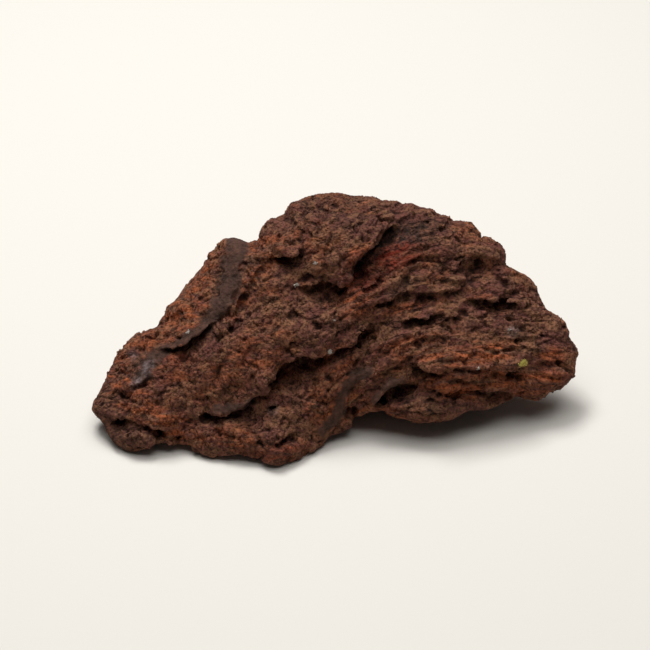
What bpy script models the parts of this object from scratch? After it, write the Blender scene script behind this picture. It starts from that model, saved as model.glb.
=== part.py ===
import math

import bpy
import bmesh
import numpy as np
from mathutils import Vector, noise

NAME = "lava_rock"
MM = 0.001

# How the broad face lies: degrees, and millimetres above the sole
FACE_PITCH = 37.1
FACE_ROLL = -1.6
FACE_HEIGHT = 37.2
FACE_TAPER = 751.0

# Middle of the rock's box, across and back, from which everything is measured in the end, in mm
BOX_MIDDLE = (3.35, 11.19)

# Thickness before and behind the face's middle plane, in mm
FRONT_CROWN = 14.0
BACK_CROWN = -68.0
BACK_ENDS = -34.0
FACE_MIDDLE = (5.0, 10.0)

# Feet on the sole, each a place across and back and a radius, and how far the rest stands clear, in mm
FEET = ((-79, -24, 17), (-46, -26, 22), (-20, -31, 26), (48, 14, 24), (4, 42, 26))
FOOT_DEPTH = 3.0
CLEARANCE = 3.5
SOLE_ROUNDING = 1.2

# How round the plain lump is: powers of the way to its rim, before and behind
FRONT_FALL, FRONT_ROUND = 2.2, 0.6
BACK_FALL, BACK_ROUND = 2.0, 0.5

# Random roughness, each a size and the height it adds, in mm
LAYER, LAYER_LIFT = 6.5, 2.4
CRUMB, CRUMB_LIFT = 10.0, 2.2
LUMP, LUMP_LIFT = 18.0, 1.4
WOBBLE, WOBBLE_REACH = 6.0, 1.6
BACK_LUMP, BACK_LUMP_LIFT = 38.0, 9.0
SOLE_LUMP, SOLE_LUMP_LIFT = 30.0, 3.0
FOOT_LUMP, FOOT_UNEVEN = 13.0, 0.5

# How the layers bend: sizes in mm, and shares of a layer
BEND, BEND_SHARE = 24.0, 1.5
SMALL_BEND, SMALL_BEND_SHARE = 9.0, 0.5
GAP_BETWEEN_LAYERS = 16.0
LAYER_EDGE = 0.12

# Layers stand out by this share on the left and that share on the right of the face
LAYERS_LEFT, LAYERS_RIGHT = 0.15, 0.90

# Way the lava flowed: slope of the layers at places across the face, mm and degrees
FLOW_SLOPE = (
    (-100, 10), (-80, 20), (-60, 38), (-42, 58), (-28, 55), (0, 32), (30, 16), (60, 3), (100, -10),
)

# Overhang: how far what stands out hangs down the face, by its height
LEAN = 0.5

# Ledges: rounding of a lip in mm, and how much more for each mm of lift, and the wall under it
LIP_ROUNDING, LIP_MORE = 1.2, 0.45
LIP_WALL = 0.8
LEDGE_END, GROOVE_END, ROLL_END = 6.0, 5.0, 4.0
ROLL_ROUND = 0.8

# Fineness of the mesh
SPHERE_LEVEL = 7
VOXEL = 0.8 * MM
TRIANGLES = 9800

# Rim of the broad face, anticlockwise from the right end, in mm across and up the face
RIM = (
    (102.5, -12.0), (100.5, -5.0), (98.0, 1.0), (92.0, 5.5), (87.5, 12.0), (84.0, 18.0), (78.0, 22.5),
    (73.0, 25.0), (73.5, 29.0), (71.0, 33.0), (63.5, 37.5), (59.5, 41.5), (51.5, 41.8), (45.0, 45.8),
    (43.0, 47.5), (38.5, 48.0), (35.0, 49.5), (32.0, 49.0), (30.0, 50.5), (21.5, 51.5), (11.0, 51.5),
    (5.0, 53.3), (-5.5, 52.0), (-14.0, 49.0), (-16.0, 44.5), (-22.5, 43.0), (-26.0, 39.5), (-27.0, 35.0),
    (-31.0, 33.5), (-37.5, 35.0), (-42.0, 34.5), (-44.5, 31.0), (-48.0, 27.0), (-52.0, 20.5), (-56.5, 16.5),
    (-60.0, 11.0), (-64.0, 8.0), (-65.0, 4.0), (-67.5, -0.5), (-77.0, -3.5), (-82.5, -9.0), (-85.5, -14.0),
    (-89.5, -23.0), (-91.0, -27.0), (-94.0, -31.0), (-94.5, -34.0), (-91.0, -39.5), (-88.5, -43.0),
    (-86.0, -48.0), (-83.0, -50.5), (-73.0, -51.5), (-67.5, -49.0), (-62.0, -44.5), (-57.5, -48.0),
    (-52.5, -52.0), (-44.5, -54.0), (-34.5, -52.2), (-27.0, -55.0), (-18.0, -57.0), (-10.0, -55.0),
    (2.0, -46.0), (8.0, -44.0), (11.3, -42.0), (11.0, -38.0), (18.0, -35.0), (22.0, -34.8), (28.5, -37.5),
    (46.5, -38.7), (51.5, -38.5), (58.5, -35.0), (67.0, -34.2), (79.0, -29.2), (87.0, -29.5), (92.5, -26.5),
    (96.5, -25.0), (101.0, -21.5), (101.0, -16.5),
)

# Depth of the rim, by its bearing round the face's middle: degrees and mm
RIM_DEPTH = (
    (-180, -14), (-165, -12), (-156, -3), (-148, 3), (-140, 6), (-130, 9), (-110, 13), (-100, 9), (-94, 3),
    (-83, 1), (-69, 6), (-50, 8), (-36, 5), (-25, 1), (-13, -5), (0, -8), (42, -8), (90, -7), (135, -9),
    (155, -12), (180, -14),
)

# Ledges: lift of the lip, drop below it, reach above, width below, then the lip from left to right
LEDGES = (
    # the long fold that crosses the middle
    (2.0, 6.0, 14, 2.8, ((-35, -34.5), (-30, -31), (-24, -26.5), (-20.5, -22.5), (-17, -18.8))),
    (3.0, 9.0, 18, 4.0, ((-26, -28.5), (-20.5, -22.5), (-17, -18.8), (-12, -16.2), (-4, -14.6), (2, -14))),
    (2.5, 5.5, 12, 2.2, ((-5, -14.6), (2, -14), (8, -10.5), (14, -7), (18, -3), (21, 0.5))),
    # groove side of the roll on the left
    (1.0, 6.5, 6, 2.8, ((-69, -10.5), (-62, -9.5), (-56, -7.5), (-51, -4.5), (-47, -1), (-44, 3))),
    # shelf under the small upper lump
    (3.5, 8.5, 9, 4.0, ((-28, 27.5), (-23, 28), (-17, 28), (-12, 29), (-9, 33))),
    # right side of the top block
    (4.0, 6.0, 12, 4.5, ((10, 13.5), (12.5, 19), (12.7, 25), (15.5, 28.5), (20, 31), (25.5, 35.5), (28, 40))),
    # under the top block
    (2.0, 5.0, 8, 2.0, ((-12, 14.5), (-6, 14.6), (0, 14.8), (6, 14.4), (12, 15.2))),
    (1.2, 4.5, 5, 1.5, ((-12, 18.5), (-7, 19.3), (-2, 18.8), (4, 18.6))),
    # slots of the layered right half
    (1.5, 4.0, 6, 1.6, ((17, 7.8), (21, 8.5), (26, 9.2), (30, 10), (34, 11.2), (38, 12))),
    (1.5, 3.0, 6, 1.6, ((36, 11), (41, 10.8), (46, 11.5))),
    (2.0, 4.0, 8, 2.2, ((46, 10.5), (52, 12.5), (58, 13.5))),
    (2.5, 7.0, 9, 2.4, ((57, 8.5), (63, 8), (68, 7.6), (73, 7.4), (79, 9))),
    (1.5, 3.5, 7, 1.6, ((31, -0.5), (36, 1), (41, 0.8), (46, 3), (51, 4))),
    (1.5, 3.0, 7, 1.5, ((47, 0.8), (52, 1.5), (58, 2.2))),
    # the big lens and the ones under it
    (3.0, 4.0, 10, 2.0, ((33, -16.5), (40, -17.3), (47, -17.8), (52, -20), (60, -22), (64, -23.5))),
    (1.5, 3.5, 7, 1.6, ((63, -21), (68, -19), (73, -18.4), (78, -16.2), (84, -16))),
    (1.2, 3.5, 7, 1.4, ((82, -17), (88, -15.4), (94, -15), (102, -15.5))),
    (1.0, 2.5, 5, 1.5, ((40, -25.5), (47, -26), (53, -27), (60, -26.5))),
    (1.5, 5.5, 6, 2.2, ((70, -20.5), (76, -20), (82, -20.5))),
    # slot over the lower right lip
    (3.0, 11.0, 8, 3.2, ((19, -34), (22, -30), (26, -27.3), (31, -26.3), (38, -25.5))),
    (0.8, 2.5, 5, 1.3, ((40, -30), (46, -31), (52, -33))),
    # under the lower right side
    (1.5, 4.0, 5, 4.0, ((54, -29), (62, -27.5), (72, -27.3), (84, -27.5))),
    # undercut over the lower left lobe
    (2.5, 6.0, 9, 2.6, ((-89, -40), (-84, -38.8), (-79, -39.5), (-73, -41), (-67, -43.8), (-62, -45.5))),
    (1.0, 2.5, 4, 1.2, ((-69, -39.5), (-64, -39), (-59, -40))),
    # dark sheet and hollows in the lower left
    (1.5, 5.5, 7, 2.0, ((-50, -36), (-44, -37), (-38, -36.5), (-33, -35), (-28, -33.5))),
    (1.0, 3.0, 5, 1.4, ((-24, -33.5), (-21, -34.5), (-18, -34))),
    # toe
    (1.5, 3.0, 5, 1.6, ((-31, -46.5), (-26, -46), (-20, -46.5), (-14, -44.5), (-10, -43))),
    # left wing
    (1.5, 3.0, 6, 1.5, ((-56, 8), (-51, 10.5), (-46, 14))),
    (1.2, 3.5, 5, 1.6, ((-86, -30), (-82, -28), (-78, -25.5), (-74, -23.5), (-70, -19.5))),
    (1.0, 3.0, 5, 2.0, ((-66, 3), (-62, 3.2), (-57, 4.5))),
)

# Grooves: depth, half width, line
GROOVES = (
    (6.0, 1.8, ((-47, -5), (-40, -4), (-36, -0.5), (-34, 4), (-32.5, 10), (-29.5, 17), (-27, 23), (-24, 27))),
    (4.0, 1.4, ((-18, 41.8), (-13, 41), (-9.5, 38), (-9, 33))),
    (2.5, 1.2, ((1, 47.8), (5, 47.8), (9, 47.6))),
    (2.5, 1.2, ((61.5, 27), (61, 22), (58, 18), (59, 14))),
    (2.0, 0.9, ((-41, -13), (-43, -18), (-43, -25))),
    (2.5, 1.3, ((-19.5, -17), (-17, -16), (-16, -18))),
    (5.0, 1.6, ((13.5, -32.5), (11.5, -34), (9, -38))),
    (3.0, 1.3, ((69, 18.5), (72, 16.8), (75, 15.3))),
    (2.5, 1.1, ((93, -2.8), (95.5, -2), (98, -1.6))),
    (3.0, 1.3, ((-71, -21), (-70, -23), (-68.8, -25))),
    (3.0, 1.3, ((-21, -32.5), (-20.5, -35), (-22, -37))),
)

# Rolls: height, half width at each end, line
ROLLS = (
    (3.2, 6.2, 5.2, ((-37.5, 36), (-37.7, 30), (-39.3, 23), (-40.5, 11.6), (-41.5, 8.5))),
    (3.2, 5.4, 3.2, ((-40.5, 12.5), (-43.4, 6), (-45.3, 3), (-47.2, 0.5))),
    (3.0, 3.2, 2.2, ((-45, 3.8), (-47.2, 0.5), (-52.8, -4), (-58, -6.8), (-64, -9.3))),
    (1.4, 3.0, 5.0, ((-61, -8.4), (-66, -10.8), (-71, -13.8), (-76, -17))),
    (1.2, 3.4, 1.6, ((-70, -17), (-73.5, -20.5), (-76.5, -24))),
    (0.8, 2.2, 3.0, ((21, -17.6), (12.4, -20.6), (8.6, -24.5), (7.2, -28), (6.4, -31))),
    (0.8, 3.0, 2.4, ((7.2, -28), (6.1, -34.1), (2.6, -39.3), (-1.4, -43.4), (-3.2, -45.7))),
    (1.6, 2.0, 2.0, ((34, -21.5), (28, -23), (24, -25.5), (21, -29.5), (18.5, -33))),
    (1.0, 2.4, 1.8, ((-47, -33.8), (-39, -34), (-31, -31.5), (-27, -29.5))),
)

# Lumps, or hollows when negative: height, middle, half sizes, slant in degrees
LUMPS = (
    (5.0, (3, 38), (20, 14), 0),
    (4.0, (-19, 35), (9, 7), 10),
    (-5.0, (34, 37), (11, 6), 15),
    (-4.0, (24, 27), (13, 6), 15),
    (-4.5, (58, 19), (11, 10), 20),
    (3.0, (68, 29), (10, 7), -30),
    (-3.0, (66, 5), (12, 4), 0),
    (4.0, (52, -13), (26, 9), -8),
    (4.0, (40, -34), (20, 5.5), -3),
    (3.0, (50, -23), (12, 4), -10),
    (-5.0, (-13, -24), (10, 8), 25),
    (3.5, (-30, -46), (18, 9), -5),
    (3.0, (-18, -51), (9, 5), 15),
    (3.0, (-76, -46), (12, 5), -8),
    (3.0, (-90, -34), (6, 6), 0),
    (-3.0, (-82, -30), (6, 4), 30),
    (2.5, (-32, -12), (22, 14), 30),
    (2.0, (5, 2), (16, 8), 25),
    (-2.0, (0, 12), (12, 4), 0),
    (2.5, (95, -21), (8, 4), 10),
)

# Pits: depth, radius, middle
PITS = (
    (3.0, 1.7, (38, -7)), (2.5, 1.5, (23, 37)), (2.5, 1.5, (48, 38.5)), (2.5, 2.0, (-14, 3.5)),
    (3.0, 2.2, (-3, 0)), (2.0, 1.4, (79.5, -11)), (3.5, 2.0, (-48, -37)), (4.0, 3.0, (-30, -37)),
    (2.5, 1.4, (-12, 9.5)), (3.0, 2.0, (60, 16)), (2.0, 1.6, (-88, -27)), (2.0, 1.4, (-77, -17.5)),
    (3.0, 2.5, (1, 10)), (2.5, 1.5, (32.5, 17.3)), (2.5, 2.0, (-57, -13)), (3.0, 1.8, (-9, -19.2)),
    (2.5, 1.4, (56.4, 4)),
)


def clear_scene():
    for old in list(bpy.data.objects):
        bpy.data.objects.remove(old, do_unlink=True)


def along_line(a, b, line):
    """Distance from a line, positive on its left, and the length run along it."""
    line = np.array(line, float)
    best = np.full(a.shape, np.inf)
    side = np.ones(a.shape)
    run = np.zeros(a.shape)
    start = 0.0
    for (x0, y0), (x1, y1) in zip(line[:-1], line[1:]):
        dx, dy = x1 - x0, y1 - y0
        length = math.hypot(dx, dy)
        t = np.clip(((a - x0) * dx + (b - y0) * dy) / length**2, 0, 1)
        gap = np.hypot(a - x0 - t * dx, b - y0 - t * dy)
        near = gap < best
        best = np.where(near, gap, best)
        side = np.where(near, np.sign(dx * (b - y0) - dy * (a - x0)), side)
        run = np.where(near, start + t * length, run)
        start += length
    return best * side, run, start


def smooth(x):
    x = np.clip(x, 0, 1)
    return x * x * (3 - 2 * x)


def fade_ends(run, length, ends):
    return smooth(run / ends) * smooth((length - run) / ends)


def add_ledge(a, b, lift, drop, reach, width, line):
    d, run, length = along_line(a, b, line)
    fade = fade_ends(run, length, min(LEDGE_END, length / 3))
    lip = np.sqrt(np.clip(1 - np.clip(1 - d / (LIP_ROUNDING + LIP_MORE * lift), 0, 1) ** 2, 0, 1))
    above = lift * lip * np.exp(-np.clip(d, 0, None) / reach)
    below = -drop * np.exp(-((np.clip(-d, 0, None) / width) ** 2))
    return fade * np.where(d > 0, above - drop * (1 - smooth(d / LIP_WALL)), below)


def add_groove(a, b, depth, width, line):
    d, run, length = along_line(a, b, line)
    fade = fade_ends(run, length, min(GROOVE_END, length / 3))
    return -depth * fade * np.exp(-((d / width) ** 2))


def add_roll(a, b, height, width0, width1, line):
    d, run, length = along_line(a, b, line)
    width = width0 + (width1 - width0) * run / length
    return height * fade_ends(run, length, ROLL_END) * np.clip(1 - (d / width) ** 2, 0, 1) ** ROLL_ROUND


def add_lump(a, b, height, middle, half, slant):
    c, s = math.cos(math.radians(slant)), math.sin(math.radians(slant))
    x = ((a - middle[0]) * c + (b - middle[1]) * s) / half[0]
    y = ((b - middle[1]) * c - (a - middle[0]) * s) / half[1]
    return height * np.clip(1 - (x * x + y * y) / 2.2, 0, 1) ** 2


def add_pit(a, b, depth, radius, middle):
    q = np.hypot(a - middle[0], b - middle[1]) / radius
    return -depth * np.clip(1 - q**2 / 2, 0, 1) ** 2


def relief(a, b):
    """Height of everything on the face, its lines made unsteady."""
    place = np.stack((a, b, 0 * a), 1)
    a = a + WOBBLE_REACH * noise_at(place, WOBBLE, 7)
    b = b + WOBBLE_REACH * noise_at(place, WOBBLE, 8)
    w = np.zeros(a.shape)
    for lump in LUMPS:
        w += add_lump(a, b, *lump)
    for ledge in LEDGES:
        w += add_ledge(a, b, *ledge)
    for groove in GROOVES:
        w += add_groove(a, b, *groove)
    for roll in ROLLS:
        w += add_roll(a, b, *roll)
    for pit in PITS:
        w += add_pit(a, b, *pit)
    return w


def smoothness(a, b):
    """1 on the bands that flowed smooth, 0 on the rough rock."""
    share = np.zeros(a.shape)
    for _, width0, width1, line in ROLLS:
        d, run, length = along_line(a, b, line)
        width = width0 + (width1 - width0) * run / length
        share = np.maximum(share, smooth(1.75 - 1.35 * np.abs(d) / width) * fade_ends(run, length, ROLL_END))
    return share


def rim_radius(bearing):
    rim = np.array(RIM) - FACE_MIDDLE
    rim_bearing = np.arctan2(rim[:, 1], rim[:, 0])
    order = np.argsort(rim_bearing)
    return np.interp(bearing, rim_bearing[order], np.hypot(*rim.T)[order], period=2 * math.pi)


def even_radius(bearing):
    """The rim's radius with its notches evened out."""
    swing = np.radians(np.linspace(-24, 24, 13))
    return sum(rim_radius(bearing + turn) for turn in swing) / len(swing)


def to_rim(a, b):
    """Share of the way from the face's middle to its rim."""
    x, y = a - FACE_MIDDLE[0], b - FACE_MIDDLE[1]
    return np.hypot(x, y) / rim_radius(np.arctan2(y, x))


def base_shape(unit):
    """Face coordinates (across, up, out) of the plain lump, from a unit sphere's points."""
    x, y, z = unit.T
    r = np.clip(np.hypot(x, y), 0, 1)
    bearing = np.arctan2(y, x)
    radius = rim_radius(bearing)
    radius += (0.97 * even_radius(bearing) - radius) * smooth((-z - 0.1) / 0.35)
    depths = np.array(RIM_DEPTH, float)
    rim_out = np.interp(np.degrees(bearing), depths[:, 0], depths[:, 1])
    a = FACE_MIDDLE[0] + r * radius * np.cos(bearing)
    b = FACE_MIDDLE[1] + r * radius * np.sin(bearing)
    front = np.clip(1 - r**FRONT_FALL, 0, 1) ** FRONT_ROUND
    back = np.clip(1 - r**BACK_FALL, 0, 1) ** BACK_ROUND
    back_crown = BACK_CROWN + (BACK_ENDS - BACK_CROWN) * smooth(np.abs(a + 10) / 110)
    w = np.where(z > 0, rim_out + (FRONT_CROWN - rim_out) * front, rim_out + (back_crown - rim_out) * back)
    return a, b, w, z


def to_world(a, b, w):
    """Face coordinates in mm to metres, the face drawn in by its taper where it stands out."""
    pitch, roll = math.radians(FACE_PITCH), math.radians(FACE_ROLL)
    shrink = 1 - w / FACE_TAPER
    u, v = a * shrink, b * shrink
    across = u * math.cos(roll) - v * math.sin(roll)
    up = u * math.sin(roll) + v * math.cos(roll)
    y = up * math.sin(pitch) - w * math.cos(pitch)
    z = FACE_HEIGHT + up * math.cos(pitch) + w * math.sin(pitch)
    return np.stack((across, y, z), 1) * MM


def seat(points):
    """Raises the underside off the ground, except at the feet."""
    x, y, z = (points / MM).T
    place = np.stack((x, y, 0 * x), 1)
    ground = CLEARANCE + SOLE_LUMP_LIFT * noise_at(place, SOLE_LUMP, 9)
    uneven = FOOT_UNEVEN * noise_at(place, FOOT_LUMP, 11)
    for foot_x, foot_y, radius in FEET:
        near = smooth(1.6 * (1 - np.hypot(x - foot_x, y - foot_y) / radius + uneven))
        ground = ground + (-FOOT_DEPTH - ground) * near
    above = (z - ground) / SOLE_ROUNDING
    z = ground + SOLE_ROUNDING * np.logaddexp(0, above)
    return np.stack((x, y, z), 1) * MM


def from_world(points):
    p = points / MM
    pitch, roll = math.radians(FACE_PITCH), math.radians(FACE_ROLL)
    y, z = p[:, 1], p[:, 2] - FACE_HEIGHT
    up = y * math.sin(pitch) + z * math.cos(pitch)
    w = z * math.sin(pitch) - y * math.cos(pitch)
    u = p[:, 0] * math.cos(roll) + up * math.sin(roll)
    v = up * math.cos(roll) - p[:, 0] * math.sin(roll)
    shrink = 1 - w / FACE_TAPER
    return u / shrink, v / shrink, w


def flow_rise(a):
    """How far the layers have risen at each place across the face."""
    places = np.array(FLOW_SLOPE, float)
    step = 2.0
    grid = np.arange(-110.0, 111.0, step)
    slope = np.tan(np.radians(np.interp(grid, places[:, 0], places[:, 1])))
    rise = np.concatenate(((0,), np.cumsum((slope[1:] + slope[:-1]) / 2 * step)))
    return np.interp(a, grid, rise)


def noise_at(points, size, seed):
    shift = Vector((seed * 17.3, seed * 5.1, seed * 11.7))
    return np.array([noise.noise(Vector(p) + shift) for p in points / size])


def crumbs_at(points, size, seed):
    """Rounded lumps with sharp creases between them, about 0 to 1."""
    shift = Vector((seed * 3.7, seed * 9.1, seed * 6.3))
    return np.array([noise.turbulence(Vector(p) + shift, 3, True) for p in points / size])


def layers(a, b, w):
    """Sawtooth layers that follow the flow, each standing proud at its lower edge, about 0 to 1."""
    across = b - flow_rise(a)
    place = np.stack((a, across * 1.8, w * 1.2), 1)
    bend = noise_at(place, BEND, 1) * BEND_SHARE + noise_at(place, SMALL_BEND, 2) * SMALL_BEND_SHARE
    phase = across / LAYER + bend
    saw = 1 - (phase - np.floor(phase))
    come_and_go = smooth(0.5 + 1.5 * noise_at(place, GAP_BETWEEN_LAYERS, 4))
    return saw * smooth((1 - saw) / LAYER_EDGE) * come_and_go


def make_rock():
    bm = bmesh.new()
    bmesh.ops.create_icosphere(bm, subdivisions=SPHERE_LEVEL, radius=1.0)
    mesh = bpy.data.meshes.new(NAME)
    bm.to_mesh(mesh)
    bm.free()
    return bpy.data.objects.new(NAME, mesh)


def read_points(mesh):
    flat = np.empty(len(mesh.vertices) * 3)
    mesh.vertices.foreach_get("co", flat)
    return flat.reshape(-1, 3)


def write_points(mesh, points):
    mesh.vertices.foreach_set("co", points.ravel())
    mesh.update()


def read_normals(mesh):
    flat = np.empty(len(mesh.vertices) * 3)
    mesh.vertex_normals.foreach_get("vector", flat)
    return flat.reshape(-1, 3)


def bake(rock, kind, **settings):
    """Runs one modifier and keeps its mesh."""
    modifier = rock.modifiers.new(kind.title(), kind)
    for key, value in settings.items():
        setattr(modifier, key, value)
    bpy.context.view_layer.update()
    graph = bpy.context.evaluated_depsgraph_get()
    mesh = bpy.data.meshes.new_from_object(rock.evaluated_get(graph))
    rock.modifiers.remove(modifier)
    rock.data = mesh


def shape_face(rock):
    """Plain lump, then the ledges, rolls, lumps and pits of its face."""
    a, b, w, z = base_shape(read_points(rock.data))
    front = smooth((z + 0.12) / 0.3)
    height = relief(a, b) * front
    w = w + height
    b = b - LEAN * height * front * smooth((1 - to_rim(a, b)) * 6)
    write_points(rock.data, seat(to_world(a, b, w)))


def roughen(rock):
    """Layers and lumps over the whole rock, pushed out along its surface."""
    points = read_points(rock.data)
    a, b, w = from_world(points)
    calm = 1 - 0.9 * smoothness(a, b) * smooth((w + 15) / 10)
    layered = LAYER_LIFT * (LAYERS_LEFT + (LAYERS_RIGHT - LAYERS_LEFT) * smooth((a + 5) / 35))
    mm = points / MM
    push = (layers(a, b, w) - 0.3) * layered
    push += (crumbs_at(mm, CRUMB, 5) - 0.5) * CRUMB_LIFT + noise_at(mm, LUMP, 6) * LUMP_LIFT
    push *= 1 - 0.6 * smooth((to_rim(a, b) - 0.86) / 0.1)
    push += noise_at(mm, BACK_LUMP, 10) * BACK_LUMP_LIFT * smooth((-5 - w) / 25)
    write_points(rock.data, points + read_normals(rock.data) * (push * calm * MM)[:, None])


def drop_islands(rock):
    """Keeps the one large skin, without the bubbles that closed-up folds leave inside it."""
    bm = bmesh.new()
    bm.from_mesh(rock.data)
    left = set(bm.verts)
    skins = []
    while left:
        edge = [left.pop()]
        skin = set(edge)
        while edge:
            linked = [e.other_vert(v) for v in edge for e in v.link_edges]
            edge = [v for v in set(linked) if v in left]
            left.difference_update(edge)
            skin.update(edge)
        skins.append(skin)
    skins.sort(key=len)
    loose = [v for skin in skins[:-1] for v in skin]
    bmesh.ops.delete(bm, geom=loose, context="VERTS")
    bm.to_mesh(rock.data)
    bm.free()


def centre(rock):
    points = read_points(rock.data)
    points[:, :2] -= np.array(BOX_MIDDLE) * MM
    write_points(rock.data, points)


def stone_material():
    material = bpy.data.materials.new("red_brown_scoria")
    material.use_nodes = True
    shader = material.node_tree.nodes["Principled BSDF"]
    shader.inputs["Base Color"].default_value = (0.072, 0.030, 0.020, 1.0)
    shader.inputs["Roughness"].default_value = 0.9
    shader.inputs["Metallic"].default_value = 0.0
    return material


def cut_sole(rock):
    bm = bmesh.new()
    bm.from_mesh(rock.data)
    everything = bm.verts[:] + bm.edges[:] + bm.faces[:]
    bmesh.ops.bisect_plane(
        bm, geom=everything, dist=1e-6, plane_co=(0, 0, 0), plane_no=(0, 0, 1), clear_inner=True
    )
    rim = [edge for edge in bm.edges if edge.is_boundary]
    bmesh.ops.holes_fill(bm, edges=rim, sides=0)
    bmesh.ops.triangulate(bm, faces=bm.faces[:])
    bm.to_mesh(rock.data)
    bm.free()


clear_scene()
collection = bpy.data.collections.new(NAME)
bpy.context.scene.collection.children.link(collection)
rock = make_rock()
collection.objects.link(rock)
shape_face(rock)
bake(rock, "REMESH", mode="VOXEL", voxel_size=VOXEL)
roughen(rock)
bake(rock, "REMESH", mode="VOXEL", voxel_size=VOXEL)
drop_islands(rock)
bake(rock, "DECIMATE", ratio=TRIANGLES / (2 * len(rock.data.polygons)))
cut_sole(rock)
centre(rock)
rock.data.materials.append(stone_material())
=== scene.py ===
import math
from contextlib import contextmanager

import bmesh
import bpy
import numpy as np
from mathutils import Matrix, Vector, noise


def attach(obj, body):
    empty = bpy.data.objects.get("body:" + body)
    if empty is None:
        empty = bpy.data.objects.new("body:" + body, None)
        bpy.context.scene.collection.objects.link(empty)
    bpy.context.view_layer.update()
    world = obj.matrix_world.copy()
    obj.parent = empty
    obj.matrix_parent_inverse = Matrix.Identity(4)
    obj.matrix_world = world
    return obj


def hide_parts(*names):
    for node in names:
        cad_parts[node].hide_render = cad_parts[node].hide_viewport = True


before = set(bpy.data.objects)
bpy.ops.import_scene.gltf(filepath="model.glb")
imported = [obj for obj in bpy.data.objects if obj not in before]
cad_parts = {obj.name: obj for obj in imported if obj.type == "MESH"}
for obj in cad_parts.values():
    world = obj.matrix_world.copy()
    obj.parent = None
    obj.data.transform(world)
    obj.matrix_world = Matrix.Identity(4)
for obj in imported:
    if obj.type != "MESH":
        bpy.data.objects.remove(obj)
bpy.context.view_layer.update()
mm = 0.001


def hexColour(code):
    parts = [int(code[i:i + 2], 16) / 255 for i in (1, 3, 5)]
    return [c / 12.92 if c <= 0.04045 else ((c + 0.055) / 1.055) ** 2.4 for c in parts] + [1.0]


def addNode(tree, kind, inputs=None, out=0, **settings):  # gives one of the new node's outputs
    node = tree.nodes.new(kind)
    for name, value in settings.items():
        setattr(node, name, value)
    for socket, value in (inputs or {}).items():
        if isinstance(value, bpy.types.NodeSocket):
            tree.links.new(value, node.inputs[socket])
        else:
            node.inputs[socket].default_value = value
    return node.outputs[out] if node.outputs else None


def newObject(name, mesh):
    thing = bpy.data.objects.new(name, mesh)
    bpy.context.scene.collection.objects.link(thing)
    return thing


def newMaterial(name):  # gives the material, its tree and its shader
    material = bpy.data.materials.new(name)
    material.use_nodes = True
    return material, material.node_tree, material.node_tree.nodes["Principled BSDF"]


def startTree(name, **sockets):  # a Geometry Nodes tree with named inputs, and their outputs inside it
    tree = bpy.data.node_groups.new(name, "GeometryNodeTree")
    for socket, kind in (("Geometry", "Geometry"), *sockets.items(), ("Material", "Material")):
        tree.interface.new_socket(titled(socket), in_out="INPUT", socket_type="NodeSocket" + kind)
    tree.interface.new_socket("Geometry", in_out="OUTPUT", socket_type="NodeSocketGeometry")
    return tree, tree.nodes.new("NodeGroupInput").outputs


def endTree(tree, geometry, material):
    real = addNode(tree, "GeometryNodeRealizeInstances", {0: geometry})
    painted = addNode(tree, "GeometryNodeSetMaterial", {"Geometry": real, "Material": material})
    addNode(tree, "NodeGroupOutput", {0: painted})
    return tree


def titled(name):  # holeDepth becomes Hole Depth
    return "".join(" " + c if c.isupper() else c for c in name).title().strip()


@contextmanager
def editing(mesh):  # opens a mesh for bmesh and writes it back
    bm = bmesh.new()
    bm.from_mesh(mesh)
    yield bm
    bm.to_mesh(mesh)
    bm.free()


def readPoints(mesh):
    flat = np.empty(len(mesh.vertices) * 3)
    mesh.vertices.foreach_get("co", flat)
    return flat.reshape(-1, 3)


def writePoints(mesh, points):
    mesh.vertices.foreach_set("co", points.ravel())
    mesh.update()


def readNormals(mesh):
    flat = np.empty(len(mesh.vertices) * 3)
    mesh.vertex_normals.foreach_get("vector", flat)
    return flat.reshape(-1, 3)


def readEdges(mesh):  # the two ends of each edge
    flat = np.empty(len(mesh.edges) * 2, int)
    mesh.edges.foreach_get("vertices", flat)
    return flat.reshape(-1, 2)


def applyModifiers(thing):  # keeps the evaluated mesh and drops the modifiers
    bpy.context.view_layer.update()
    graph = bpy.context.evaluated_depsgraph_get()
    mesh = bpy.data.meshes.new_from_object(thing.evaluated_get(graph))
    thing.modifiers.clear()
    thing.data = mesh


def smooth(x):
    x = np.clip(x, 0, 1)
    return x * x * (3 - 2 * x)


def noiseAt(points, size, seed):
    shift = Vector((seed * 17.3, seed * 5.1, seed * 11.7))
    return np.array([noise.noise(Vector(p) + shift) for p in points / size])


def crumbsAt(points, size, seed):  # rounded lumps with sharp creases between them
    shift = Vector((seed * 3.7, seed * 9.1, seed * 6.3))
    return np.array([noise.turbulence(Vector(p) + shift, 3, True) for p in points / size])


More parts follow.
